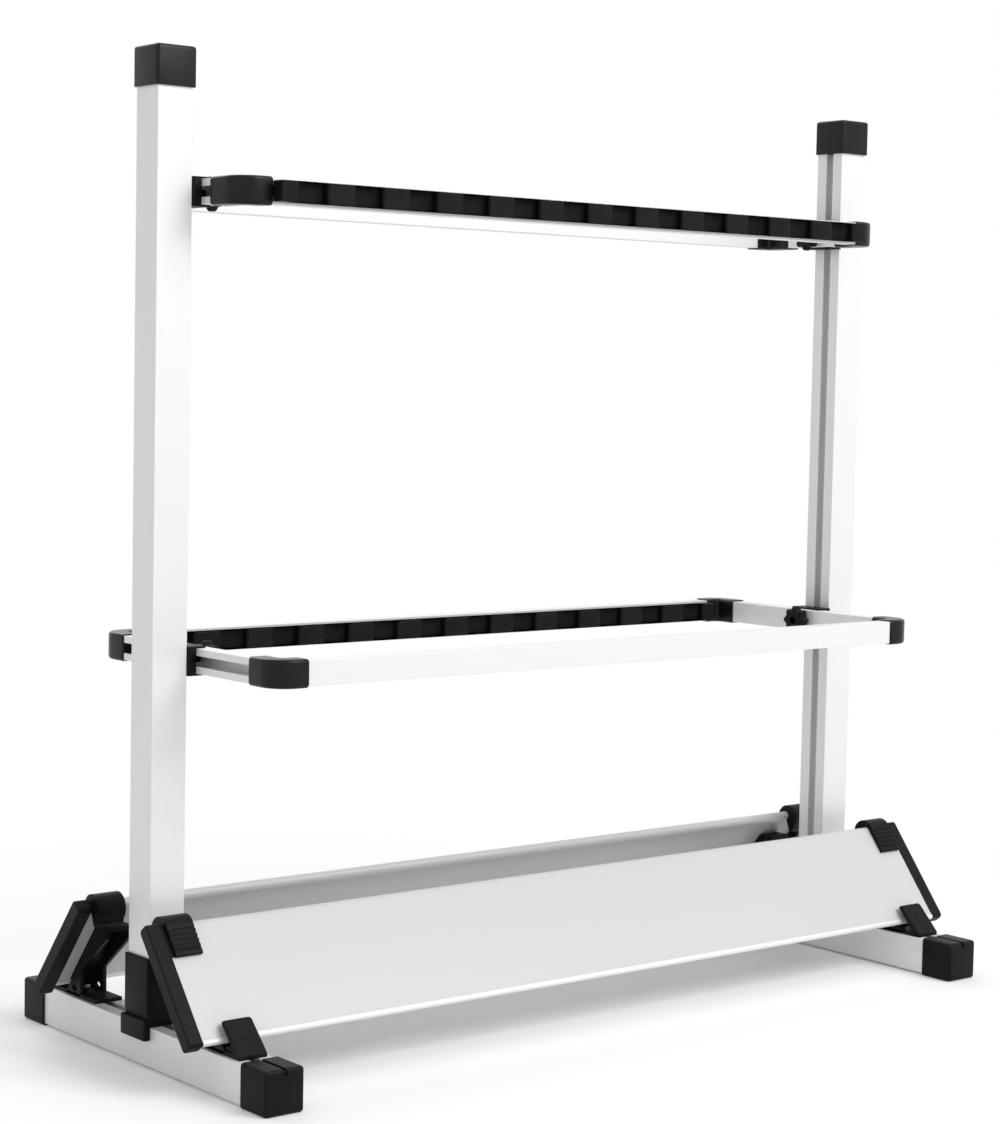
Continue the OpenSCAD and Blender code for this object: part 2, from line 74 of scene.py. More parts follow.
# top caps of the uprights; how far they stand proud is the photograph's
POST_CAP_H, POST_CAP_WALL, POST_CAP_OVER, POST_CAP_ROUND = 30.0, 1.0, 2.1, 2.6
# sockets: sleeve, collar with its skirt, and the groove above the collar
SOCKET_H, SOCKET_SIDE, SOCKET_FRONT = 52.0, 2.6, 1.2
COLLAR_H, COLLAR_SIDE, COLLAR_FRONT, SKIRT_H = 6.0, 5.5, 2.2, 10.0
STEP_H, STEP_DEEP = 3.8, 1.2

POST_X = (RACK_W - TUBE) / 2
POST_FACE = POST_X - TUBE / 2
FOOT_Z0 = FOOT_CAP_OVER
FOOT_TOP = FOOT_Z0 + TUBE

# frames: height, depth, length of a corner piece's leg along the side, and the way that the strips look,
# 1 outwards and -1 inwards
Frame = namedtuple("Frame", "z depth leg way")
FRAMES = {"mid": Frame(z=305.5, depth=248.0, leg=36.0, way=-1),
          "top": Frame(z=RACK_H - 105.5, depth=138.0, leg=40.0, way=1)}
CORNER_H, CORNER_R, CORNER_X, CORNER_ROUND = 21.5, 20.0, 30.0, 2.6
CLAMP_T, CLAMP_W, CLAMP_WALL, KEY_DEEP = 7.25, 34.0, 1.6, 1.6
CLAMP_REACH = BAR_D * 0.57
CORNER_WALL = (CORNER_H - BAR_H) / 2
FRAME_W = RACK_W - 2 * TUBE - 2 * CLAMP_T + 2 * CORNER_WALL
BAR_X = FRAME_W / 2 - CORNER_WALL
LONG_BAR = FRAME_W - 2 * CORNER_R - 2

# rod strips; how far they reach past the solids' ends, and those ends' rounding, are the photograph's
NOTCHES, NOTCH_W, NOTCH_DEEP, NOTCH_R = 12, 25.0, 9.0, 5.0
STRIP_OUT, STRIP_H, END_TOOTH, TOOTH_R, END_R, STRIP_PAST = 12.0, 15.5, 15.0, 2.5, 0.6, 0.8
STRIP_GAP = 1.0
STRIP_LEN = FRAME_W - 2 * (CORNER_X + STRIP_GAP)
NOTCH_PITCH = (STRIP_LEN - 2 * END_TOOTH - NOTCH_W) / (NOTCHES - 1)

# star knobs with their studs
KNOB_R, KNOB_T, KNOB_GAP, LOBE_H, LOBES, STAR_STEPS = 13.0, 10.0, 0.3, 2.6, 8, 96
STUD_R, STUD_IN = 3.0, 6.2

# trays: u runs down the slope from the bead's axis, v square to it; the lip's radius is the photograph's
TRAY_IN, TRAY_OVER, BEAD_Z, SLOPE = 122.5, 14.0, 113.0, math.radians(51.5)
TRAY_W, TRAY_T, BEAD_R, LIP_R, LIP_RISE = 92.0, 2.2, 4.0, 2.3, 0.4
TRAY_LEN = RACK_W + 2 * TRAY_OVER
BEAD_Y = FOOT_LEN / 2 - TRAY_IN
TRAY_V = BEAD_R - TRAY_T
LIP_U, LIP_V = TRAY_W + LIP_RISE, BEAD_R + LIP_RISE - LIP_R
ARM_W, ARM_T, ARM_RISE, ARM_PAST = 12.5, 11.5, 0.9, 2.7

# latches
LATCH_W, LATCH_GAP, LATCH_R, LATCH_LEN, LATCH_T, LATCH_LIFT = 23.0, 1.8, 11.6, 24.8, 3.0, 0.35
LATCH_FACE = BEAD_R + LATCH_LIFT
LATCH_TOP = LATCH_FACE + LATCH_T
JAW_ANGLE, JAW_REACH = math.radians(-60), 15.9
RIBS, RIB_FIRST, RIB_STEP, RIB_RISE = 4, 3.0, 3.95, 0.75

# brackets: the clip leans back by a share of its height; the long hole in the webs is the photograph's
BRACKET_W, PLATE_T, CLIP_H, CLIP_LEAN, CLIP_ROUND = 23.5, 3.0, 25.0, 0.92, 2.4
HOLE_R, HOLE_STRETCH, HOLE_OUT, HOLE_UP = 2.4, 1.75, 6.0, 6.6
# how far the clip stands out from the lip, how far inside it the leg and the plate's end are, and the shelf
CLIP_OUT, LEG_IN, PLATE_IN, SHELF_DROP, SHELF_OUT = 23.5, 15.0, 42.0, 7.4, 2.0
# how far the ends of the sheet between the webs are from their outer faces
REST_IN = 1.0


# Materials
def new_material(name):
    m = bpy.data.materials.new(name)
    m.use_nodes = True
    nt = m.node_tree
    return m, nt, nt.nodes["Principled BSDF"]


def texture(nt, kind, scale, stretch=(1, 1, 1), **inputs):
    """A texture in object coordinates, stretched along one or more axes."""
    co = nt.nodes.new("ShaderNodeTexCoord")
    mp = nt.nodes.new("ShaderNodeMapping")
    mp.inputs["Scale"].default_value = stretch
    tx = nt.nodes.new(kind)
    tx.inputs["Scale"].default_value = scale
    for key, value in inputs.items():
        tx.inputs[key].default_value = value
    nt.links.new(co.outputs["Object"], mp.inputs["Vector"])
    nt.links.new(mp.outputs["Vector"], tx.inputs["Vector"])
    return tx


def spread(nt, source, low, high):
    """A number that goes from low to high as the source goes from 0 to 1."""
    r = nt.nodes.new("ShaderNodeMapRange")
    r.inputs["To Min"].default_value = low
    r.inputs["To Max"].default_value = high
    nt.links.new(source, r.inputs["Value"])
    return r.outputs["Result"]


def tint(nt, source, dark, light):
    """A colour between dark and light, from the middle part of the source's range."""
    r = nt.nodes.new("ShaderNodeValToRGB")
    low, high = r.color_ramp.elements
    low.position, low.color = 0.3, (*dark, 1)
    high.position, high.color = 0.7, (*light, 1)
    nt.links.new(source, r.inputs["Fac"])
    return r.outputs["Color"]


def bump(nt, bsdf, source, distance, strength):
    b = nt.nodes.new("ShaderNodeBump")
    b.inputs["Distance"].default_value = distance
    b.inputs["Strength"].default_value = strength
    nt.links.new(source, b.inputs["Height"])
    nt.links.new(b.outputs["Normal"], bsdf.inputs["Normal"])


def black_plastic(name, dark, light, rough, shine):
    """Moulded plastic with a fine grain and faint clouds."""
    m, nt, p = new_material(name)
    grain = texture(nt, "ShaderNodeTexNoise", 3200, Detail=3.0, Roughness=0.6)
    cloud = texture(nt, "ShaderNodeTexNoise", 38, Detail=4.0)
    nt.links.new(tint(nt, cloud.outputs["Fac"], dark, light), p.inputs["Base Color"])
    nt.links.new(spread(nt, cloud.outputs["Fac"], rough - 0.07, rough + 0.09), p.inputs["Roughness"])
    p.inputs["Specular IOR Level"].default_value = shine
    bump(nt, p, grain.outputs["Fac"], distance=0.00006, strength=0.55)
    return m


def aluminium(name, along, dark, light, rough, metallic):
    """Satin anodised section, with fine draw lines along one axis."""
    m, nt, p = new_material(name)
    stretch = tuple(0.012 if i == along else 1.0 for i in range(3))
    lines = texture(nt, "ShaderNodeTexNoise", 1500, stretch, Detail=5.0, Roughness=0.65)
    cloud = texture(nt, "ShaderNodeTexNoise", 9, Detail=3.0)
    nt.links.new(tint(nt, lines.outputs["Fac"], dark, light), p.inputs["Base Color"])
    nt.links.new(spread(nt, cloud.outputs["Fac"], rough - 0.05, rough + 0.07), p.inputs["Roughness"])
    p.inputs["Metallic"].default_value = metallic
    bump(nt, p, lines.outputs["Fac"], distance=0.00004, strength=0.35)
    return m


def plated(name, dark, light, rough):
    """Plated steel with the small cells of a zinc coat."""
    m, nt, p = new_material(name)
    cell = texture(nt, "ShaderNodeTexVoronoi", 420)
    fine = texture(nt, "ShaderNodeTexNoise", 1800, Detail=4.0)
    nt.links.new(tint(nt, cell.outputs["Distance"], dark, light), p.inputs["Base Color"])
    nt.links.new(spread(nt, fine.outputs["Fac"], rough - 0.07, rough + 0.07), p.inputs["Roughness"])
    p.inputs["Metallic"].default_value = 1.0
    bump(nt, p, fine.outputs["Fac"], distance=0.00003, strength=0.4)
    return m


BLACK = black_plastic("black_moulded", dark=(0.0048, 0.005, 0.0051), light=(0.008, 0.0082, 0.0083),
                      rough=0.42, shine=0.1)
BLACK_GLOSS = black_plastic("black_moulded_smooth", dark=(0.0048, 0.005, 0.0051),
                            light=(0.0075, 0.0077, 0.0078), rough=0.28, shine=0.2)
ALU = [aluminium("aluminium_along_" + axis, i, dark=(0.765, 0.768, 0.772), light=(0.79, 0.792, 0.796),
                 rough=0.42, metallic=0.25) for i, axis in enumerate("xyz")]
TRAY = aluminium("tray_satin", 0, dark=(0.575, 0.58, 0.578), light=(0.59, 0.595, 0.592),
                 rough=0.46, metallic=0.1)
ZINC = plated("zinc_steel", dark=(0.52, 0.53, 0.55), light=(0.68, 0.69, 0.71), rough=0.33)
# plated steel given a dark colour, which the bracket screws take
ZINC_DARK = plated("zinc_steel_dark", dark=(0.035, 0.036, 0.038), light=(0.06, 0.061, 0.063),
                    rough=0.4)


# Mesh helpers. Outlines are in mm; place turns (p, q, t) into x, y, z in mm.
def add_box(bm, a, b):
    """Adds a box between two opposite corners and returns its edges."""
    lo, hi = (Vector([pick(pair) for pair in zip(a, b)]) for pick in (min, max))
    size = (hi - lo) * MM
    matrix = Matrix.Translation((lo + hi) / 2 * MM) @ Matrix.Diagonal((*size, 1))
    made = bmesh.ops.create_cube(bm, size=1.0, matrix=matrix)
    return list(dict.fromkeys(edge for v in made["verts"] for edge in v.link_edges))


def bevel_edges(bm, edges, width, n):
    bmesh.ops.bevel(bm, geom=edges, offset=width * MM, segments=n, profile=0.5, affect="EDGES",
                    clamp_overlap=True)


def soft_box(bm, a, b, r, n=5, square=None):
    """A box with rounded edges; square gives the axis and the level of a rim that isn't rounded."""
    edges = add_box(bm, a, b)
    if square:
        axis, level = square
        edges = [e for e in edges if not all(abs(v.co[axis] - level * MM) < 1e-6 for v in e.verts)]
    bevel_edges(bm, edges, r, n)


def cut_away(ob, a, b):
    """Subtracts the box between two opposite corners from an object's mesh."""
    bm = bmesh.new()
    add_box(bm, a, b)
    me = bpy.data.meshes.new("cutter")
    bm.to_mesh(me)
    bm.free()
    cutter = bpy.data.objects.new("cutter", me)
    bpy.context.scene.collection.objects.link(cutter)
    cut = ob.modifiers.new("cut", "BOOLEAN")
    cut.object, cut.operation, cut.solver, cut.use_self = cutter, "DIFFERENCE", "EXACT", True
    done = bpy.data.meshes.new_from_object(ob.evaluated_get(bpy.context.evaluated_depsgraph_get()))
    ob.modifiers.clear()
    ob.data = done
    bpy.data.objects.remove(cutter)


def finish_mesh(name, bm, material, node, sharp=32.0, bevel=None, segments=2, flat=False, cutters=()):
    """Makes the object that stands for a CAD node, rides its body and takes its slot."""
    bmesh.ops.recalc_face_normals(bm, faces=bm.faces)
    me = bpy.data.meshes.new(name)
    bm.to_mesh(me)
    bm.free()
    me.shade_smooth()
    me.materials.append(material)
    ob = bpy.data.objects.new(name, me)
    bpy.context.scene.collection.objects.link(ob)
    for a, b in cutters:
        cut_away(ob, a, b)
    if bevel:
        edges = ob.modifiers.new("edges", "BEVEL")
        edges.width, edges.segments = bevel * MM, segments
        edges.limit_method, edges.angle_limit = "ANGLE", math.radians(sharp)
        edges.harden_normals = True
    else:
        ob.data.set_sharp_from_angle(angle=math.radians(sharp))
    if flat:
        ob.modifiers.new("flat_faces", "WEIGHTED_NORMAL").keep_sharp = True
    body = frame["nodes"][node]["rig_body"]
    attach(ob, body)
    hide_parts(node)
    return ob


def skin(bm, rings):
    """Joins closed rings of vertices, each to the next, and fills the first and the last."""
    for lo, hi in zip(rings, rings[1:]):
        for i in range(len(lo)):
            bm.faces.new((lo[i - 1], lo[i], hi[i], hi[i - 1]))
    bm.faces.new(rings[0][::-1])
    bm.faces.new(rings[-1])


def prism(bm, outline, place, a, b):
    """Extrudes a closed outline from t = a to t = b."""
    skin(bm, [[bm.verts.new(Vector(place(p, q, t)) * MM) for p, q in outline] for t in (a, b)])


def holed_prism(bm, outline, hole, place, a, b):
    """A prism with an opening of the outline hole through it."""
    rings = []
    for t in (a, b):
        edges = []
        for loop in (outline, hole):
            ring = [bm.verts.new(Vector(place(p, q, t)) * MM) for p, q in loop]
            edges += [bm.edges.new((ring[i - 1], ring[i])) for i in range(len(ring))]
            rings.append(ring)
        bmesh.ops.triangle_fill(bm, edges=edges, use_beauty=True, use_dissolve=False)
    for lo, hi in ((rings[0], rings[2]), (rings[1], rings[3])):
        for i in range(len(lo)):
            bm.faces.new((lo[i - 1], lo[i], hi[i], hi[i - 1]))


def round_edges(bm, width, n=3, old=(), only=None):
    """Rounds the edges sharper than 40 degrees that bm has gained since old, or those that only picks."""
    new = [e for e in bm.edges if e not in old]
    bmesh.ops.recalc_face_normals(bm, faces=list({f for e in new for f in e.link_faces}))
    sharp = [e for e in new if e.calc_face_angle(0.0) > math.radians(40)]
    bevel_edges(bm, [e for e in sharp if only is None or only(e)], width, n)


def arc(cx, cy, r, a0, a1, n):
    """Points on an arc from a0 to a1 degrees, both ends included."""
    return [(cx + r * math.cos(math.radians(a0 + (a1 - a0) * i / n)),
             cy + r * math.sin(math.radians(a0 + (a1 - a0) * i / n))) for i in range(n + 1)]


def round_rect(x0, y0, x1, y1, r, n=6):
    return (arc(x1 - r, y1 - r, r, 0, 90, n) + arc(x0 + r, y1 - r, r, 90, 180, n)
            + arc(x0 + r, y0 + r, r, 180, 270, n) + arc(x1 - r, y0 + r, r, 270, 360, n))


def soften(points, radii, n=4):
    """Rounds the corners of an outline; radii is one number or one for each point."""
    out = []
    for i, point in enumerate(points):
        r = radii[i] if isinstance(radii, list) else radii
        before, corner, after = (Vector(points[k % len(points)]) for k in (i - 1, i, i + 1))
        u, v = (before - corner).normalized(), (after - corner).normalized()
        half = u.angle(v) / 2
        if r <= 0:
            out.append(point)
            continue
        # the rounding takes less than half of each neighbouring edge
        d = min(r / math.tan(half), (before - corner).length * 0.48, (after - corner).length * 0.48)
        start, stop = corner + u * d, corner + v * d
        for t in (k / n for k in range(n + 1)):
            out.append(tuple((1 - t) ** 2 * start + 2 * t * (1 - t) * corner + t * t * stop))
    return out


def turned(bm, profile, place, n):
    """Revolves (radius, height) points about the third axis of place."""
    rings = []
    for r, t in profile:
        around = arc(0, 0, r, 0, 360, n)[:-1] if r else [(0, 0)]
        rings.append([bm.verts.new(Vector(place(p, q, t)) * MM) for p, q in around])
    for lo, hi in zip(rings, rings[1:]):
        for i in range(n):
            j = (i + 1) % n
            corners = [lo[i % len(lo)], lo[j % len(lo)], hi[j % len(hi)], hi[i % len(hi)]]
            face = list(dict.fromkeys(corners))
            if len(face) > 2:
                bm.faces.new(face)


# Feet and uprights
def tube_outline():
    """Section of a foot or upright: p across, q up from its back, with the slot at q = TUBE."""
    h, s, i = TUBE / 2, SLOT / 2, SLOT_IN / 2
    lip, floor_q = TUBE - TUBE_WALL, TUBE - SLOT_DEEP
    return [(-h, 0), (h, 0), (h, TUBE), (s, TUBE), (s, lip), (i, lip), (i, floor_q),
            (-i, floor_q), (-i, lip), (-s, lip), (-s, TUBE), (-h, TUBE)]


def foot_section(side):
    x, half = SIDES[side] * POST_X, FOOT_LEN / 2 - FOOT_CAP_OVER
    bm = bmesh.new()
    prism(bm, tube_outline(), lambda p, q, t: (x + p, t, FOOT_Z0 + q), -half, half)
    finish_mesh(f"foot_section_{side}", bm, ALU[1], f"foot_{side}", bevel=0.6)


def upright_section(side):
    s, top = SIDES[side], RACK_H - POST_CAP_WALL
    bm = bmesh.new()
    prism(bm, tube_outline(), lambda p, q, t: (s * (POST_X + TUBE / 2 - q), p, t), FOOT_TOP, top)
    finish_mesh(f"upright_section_{side}", bm, ALU[2], f"upright_{side}", bevel=0.6)


def upright_top(side):
    x, w, low = SIDES[side] * POST_X, TUBE / 2 + POST_CAP_OVER, RACK_H - POST_CAP_H
    bm = bmesh.new()
    soft_box(bm, (x - w, -w, low), (x + w, w, RACK_H), POST_CAP_ROUND, square=(2, low))
    finish_mesh(f"upright_top_{side}", bm, BLACK_GLOSS, f"upright_cap_{side}", bevel=0.35)


def socket_sleeve(side):
    """Sleeve with a stepped collar that hooks over the foot."""
    x, h = SIDES[side] * POST_X, TUBE / 2
    sleeve_x, sleeve_y = h + SOCKET_SIDE, h + SOCKET_FRONT
    collar_x, collar_y = h + COLLAR_SIDE, h + COLLAR_FRONT
    top, collar_top, skirt = FOOT_TOP + SOCKET_H, FOOT_TOP + COLLAR_H, FOOT_TOP - SKIRT_H
    bm = bmesh.new()
    soft_box(bm, (x - sleeve_x, -sleeve_y, FOOT_TOP), (x + sleeve_x, sleeve_y, top), 1.1, n=3,
             square=(2, FOOT_TOP))
    soft_box(bm, (x - collar_x, -collar_y, skirt), (x + collar_x, collar_y, collar_top), 1.4, n=4)
    # room for the upright and for the foot, then the groove above the collar on both sides
    room, far = h + FIT_GAP, collar_y + PAST
    cutters = [((x - room, -room, FOOT_TOP - FIT_GAP), (x + room, room, top + PAST)),
               ((x - room, -far, skirt - PAST), (x + room, far, FOOT_TOP))]
    cutters += [((face - STEP_DEEP, -far, collar_top), (face + STEP_DEEP, far, collar_top + STEP_H))
                for face in (x - sleeve_x, x + sleeve_x)]
    finish_mesh(f"socket_sleeve_{side}", bm, BLACK, f"socket_{side}", bevel=0.3, cutters=cutters)


def foot_end(end, side):
    """End cap with a groove along its top and down its end."""
    x, e = SIDES[side] * POST_X, ENDS[end]
    w, top = TUBE / 2 + FOOT_CAP_OVER, FOOT_TOP + FOOT_CAP_OVER
    inner, outer = FOOT_LEN / 2 - FOOT_CAP_LEN, FOOT_LEN / 2
    bm = bmesh.new()
    soft_box(bm, (x - w, e * inner, 0), (x + w, e * outer, top), FOOT_CAP_ROUND, square=(1, e * inner))
    g = GROOVE_W / 2
    along = (x - g, e * (inner - PAST), top - GROOVE_DEEP), (x + g, e * (outer + PAST), top + PAST)
    down = (x - g, e * (outer - GROOVE_IN), top - GROOVE_DOWN), (x + g, e * (outer + PAST), top + PAST)
    finish_mesh(f"foot_end_{end}_{side}", bm, BLACK, f"foot_cap_{end}_{side}", bevel=0.3,
                cutters=(along, down))


# Trays, arms, latches and brackets
def uv(u, v):
    """A point on the slope of a tray, as distance out and height."""
    return (BEAD_Y + u * math.cos(SLOPE) + v * math.sin(SLOPE),
            BEAD_Z - u * math.sin(SLOPE) + v * math.cos(SLOPE))


def on_slope(e):
    """Places an outline of (u, v) points at one end of the rack."""
    return lambda p, q, t: (t, e * uv(p, q)[0], uv(p, q)[1])


def across(e):
    """Places an outline of (distance out, height) points at one end of the rack."""
    return lambda p, q, t: (t, e * p, q)


# places of the lip, the brackets' clip, leg, base plate and shelf, and where the sheet meets the shelf
LIP_Y = uv(TRAY_W, TRAY_V)[0]
CLIP_Y, LEG_Y, PLATE_Y = LIP_Y + CLIP_OUT, LIP_Y - LEG_IN, LIP_Y - PLATE_IN
SHELF_Y, SHELF_Z = BEAD_Y + SHELF_OUT, BEAD_Z - LATCH_R - SHELF_DROP
REST_U = (BEAD_Z - SHELF_Z + TRAY_V * math.cos(SLOPE)) / math.sin(SLOPE)


def tray_panel(end):
    """Sheet with a bead on top and a rolled lip below."""
    face = [(0.0, BEAD_R), (TRAY_W - 3.2, BEAD_R), (TRAY_W - 2.2, BEAD_R + 0.04),
            (TRAY_W - 1.3, BEAD_R + 0.14)]
    lip = arc(LIP_U, LIP_V, LIP_R, 108, -150, 18)
    underside = [(TRAY_W - 2.8, TRAY_V - 0.1), (TRAY_W - 4.0, TRAY_V)]
    # from where the underside meets the bead, round to the sheet's face
    bead = arc(0, 0, BEAD_R, 26.7, -270, 22)[:-1]
    bm = bmesh.new()
    prism(bm, face + lip + underside + bead, on_slope(ENDS[end]), -TRAY_LEN / 2, TRAY_LEN / 2)
    ob = finish_mesh(f"tray_panel_{end}", bm, TRAY, f"tray_{end}", sharp=40)
    # the lip is as bright as the bars
    ob.data.materials.append(ALU[0])
    for polygon in ob.data.polygons:
        out, up = abs(polygon.center.y) / MM - BEAD_Y, polygon.center.z / MM - BEAD_Z
        if out * math.cos(SLOPE) - up * math.sin(SLOPE) > TRAY_W - 1.5:
            polygon.material_index = 1


def tray_arm(end, side):
    """End piece of a tray, with a narrow flange round the sheet and the bead, beside the latch."""
    s, place = SIDES[side], on_slope(ENDS[end])
    high, tray_end = BEAD_R + ARM_RISE, TRAY_LEN / 2
    u0, u1 = -BEAD_R - 1, TRAY_W + ARM_PAST
    outline = soften([(u0, high - ARM_T), (u1, high - ARM_T), (u1, high), (u0, high)],
                     [4.5, 3.6, 4.2, 3.4], 7)
    bm = bmesh.new()
    prism(bm, outline, place, s * tray_end, s * (tray_end + ARM_W))
    round_edges(bm, 1.4, 4)
    rim = s * (tray_end - LATCH_GAP + FIT_GAP), s * (tray_end + 3)
    flange = soften([(-1.0, TRAY_V - 0.6), (LATCH_LEN - 0.9, TRAY_V - 0.6), (LATCH_LEN - 0.9, BEAD_R),
                     (LATCH_LEN - 1.4, high - 0.25), (-1.0, high - 0.25)], [0, 0, 0.3, 0.5, 0.5], 3)
    prism(bm, flange, place, *rim)
    prism(bm, arc(0, 0, BEAD_R + 0.65, 0, 350, 35), place, *rim)
    finish_mesh(f"tray_arm_{end}_{side}", bm, BLACK, f"tray_cap_{end}_{side}", sharp=40, flat=True)


def latch_outline():
    """Hook round the bead with its lower jaw, then the ribbed thumb piece."""
    out = [(JAW_REACH * math.cos(JAW_ANGLE), JAW_REACH * math.sin(JAW_ANGLE)), (4.6, -16.0), (1.6, -15.6)]
    out += arc(-0.6, -3.1, LATCH_R, -84, -264, 30) + [(0.8, 8.35), (2.2, 8.25)]
    for i in range(RIBS):
        u, v = RIB_FIRST + i * RIB_STEP, LATCH_TOP + RIB_RISE * (1 - i / RIBS)
        groove = [(u, v + 0.1), (u + 0.25, v - 0.85), (u + 1.15, v - 0.9), (u + 1.5, v - 0.05)]
        out += soften(groove, 0.3, 2)
        out += arc(u + 2.72, v - 1.05, 1.35, 128, 52, 4)
    tip = [(RIB_FIRST + RIBS * RIB_STEP + 0.4, LATCH_TOP + 0.1), (LATCH_LEN - 0.3, LATCH_TOP - 0.1),
           (LATCH_LEN, LATCH_FACE + 0.6), (LATCH_LEN - 0.6, LATCH_FACE)]
    out += soften(tip, [0.6, 2.4, 0.6, 0.4], 5)
    return out + [(0.2, LATCH_FACE)] + arc(0, 0, BEAD_R + TURN_GAP, 90, 300, 20)


def latch_hook(end, side):
    s = SIDES[side]
    near = s * (TRAY_LEN / 2 - LATCH_GAP)
    bm = bmesh.new()
    prism(bm, latch_outline(), on_slope(ENDS[end]), near - s * LATCH_W, near)
    finish_mesh(f"latch_hook_{end}_{side}", bm, BLACK, f"latch_{end}_{side}", sharp=50, bevel=0.8,
                segments=4)


def bracket_base(bm, e, x0, x1):
    """Base plate on the foot, with the clip that leans back over the lip."""
    plate_top = FOOT_TOP + PLATE_T
    tip_y, tip_z = CLIP_Y - CLIP_H * CLIP_LEAN, FOOT_TOP + CLIP_H
    outline = soften([(PLATE_Y, FOOT_TOP), (CLIP_Y, FOOT_TOP), (CLIP_Y, plate_top), (tip_y + 1, tip_z),
                      (tip_y - 3, tip_z - 1.4), (CLIP_Y - 7, plate_top), (PLATE_Y, plate_top)],
                     [0, 0.4, 0.4, 0, 0, 2.0, 0], 4)

    def at_tip(edge):
        level = abs(edge.verts[0].co.x - edge.verts[1].co.x) < 0.1 * MM
        return level and min(v.co.z for v in edge.verts) > (tip_z - 2) * MM

    prism(bm, outline, across(e), x0, x1)
    round_edges(bm, CLIP_ROUND, 6, only=at_tip)
    round_edges(bm, 0.9)


def bracket_web(bm, e, a, b):
    """One of the two webs, from the base plate to the shelf, with a long hole through it."""
    plate_top, low = FOOT_TOP + PLATE_T, FOOT_TOP + 1
    web = soften([uv(REST_U, TRAY_V), uv(TRAY_W - 3.5, TRAY_V), uv(TRAY_W - 3.2, -0.5),
                  (LIP_Y + 3, plate_top), (LIP_Y + 3, low), (LEG_Y - 3, low), (LEG_Y - 3, FOOT_TOP + 22),
                  (SHELF_Y, SHELF_Z - 9), (SHELF_Y, SHELF_Z)], [0, 0, 0, 0, 0, 0, 4, 3, 1], 4)
    hole_y, hole_z = LEG_Y + HOLE_OUT, FOOT_TOP + HOLE_UP
    hole = [(hole_y + HOLE_STRETCH * y, hole_z + z) for y, z in arc(0, 0, HOLE_R, 0, 345, 23)]
    centre = Vector(across(e)(hole_y, hole_z, 0)) * MM

    def off_hole(edge):
        return (edge.verts[0].co - centre).yz.length > (HOLE_R * HOLE_STRETCH + 0.4) * MM

    old = set(bm.edges)
    holed_prism(bm, web, hole, across(e), a, b)
    round_edges(bm, 0.7, old=old, only=off_hole)


def bracket_rest(bm, e, x0, x1):
    """Sheet between the webs: the shelf, the rest under the tray and the front wall."""
    inner_v, wall_z, shelf_z, shelf_y = TRAY_V - 3, FOOT_TOP + 6, SHELF_Z - 4, SHELF_Y + 0.2
    rest = [uv(REST_U, TRAY_V - 0.05), uv(TRAY_W - 5, TRAY_V - 0.05), (LIP_Y - 3, wall_z),
            (LIP_Y - 4, wall_z), uv(TRAY_W - 9, inner_v), (uv(REST_U + 3, inner_v)[0], shelf_z),
            (shelf_y, shelf_z), (shelf_y, SHELF_Z - 0.1)]
    old = set(bm.edges)
    prism(bm, rest, across(e), x0, x1)
    round_edges(bm, 0.5, 2, old=old)


def clip_mark(bm, e, x):
    """Round mark moulded on the clip's outer face."""
    slope_y, slope_z = 1 - CLIP_H * CLIP_LEAN, CLIP_H - PLATE_T
    run = math.hypot(slope_y, slope_z)
    ty, tz = slope_y / run, slope_z / run
    my, mz = CLIP_Y + slope_y * 0.55, FOOT_TOP + PLATE_T + slope_z * 0.55
    turned(bm, [(3.6, -0.3), (3.6, 0.25), (3.1, 0.45), (2.4, 0.2), (0, 0.12)],
           lambda p, q, t: (x + p, e * (my + q * ty + t * tz), mz + q * tz - t * ty), 32)


def tray_bracket(end, side):
    s, e = SIDES[side], ENDS[end]
    x0, x1 = s * (POST_X - BRACKET_W / 2), s * (POST_X + BRACKET_W / 2)
    bm = bmesh.new()
    bracket_base(bm, e, x0, x1)
    bracket_web(bm, e, x0, x0 + s * PLATE_T)
    bracket_web(bm, e, x1 - s * PLATE_T, x1)
    bracket_rest(bm, e, x0 + s * REST_IN, x1 - s * REST_IN)
    clip_mark(bm, e, s * POST_X)
    finish_mesh(f"tray_bracket_{end}_{side}", bm, BLACK, f"bracket_{end}_{side}", sharp=40, flat=True)


# Frames
def slot_face(f):
    """How far the slotted faces of a frame's long bars are from the middle of the rack."""
    outer = f.depth / 2 - CORNER_WALL
    return outer if f.way > 0 else outer - BAR_D


def bar_outline():
    """Section of a frame bar: p up, q out, with the slot at q = BAR_D."""
    h, s, w, d = BAR_H / 2, SLOT / 2, BAR_WALL, BAR_D
    return [(-h, 0), (h, 0), (h, d), (s, d), (s, d - w), (h - w, d - w), (h - w, w), (-h + w, w),
            (-h + w, d - w), (-s, d - w), (-s, d), (-h, d)]


def rail(kind, end):
    """Long bar; its slotted side holds the strip."""
    e, f = ENDS[end], FRAMES[kind]
    face, half = slot_face(f), LONG_BAR / 2
    bm = bmesh.new()
    prism(bm, bar_outline(), lambda p, q, t: (t, e * (face + f.way * (q - BAR_D)), f.z + p), -half, half)
    finish_mesh(f"{kind}_rail_{end}", bm, ALU[0], f"{kind}_bar_{end}", bevel=0.35)


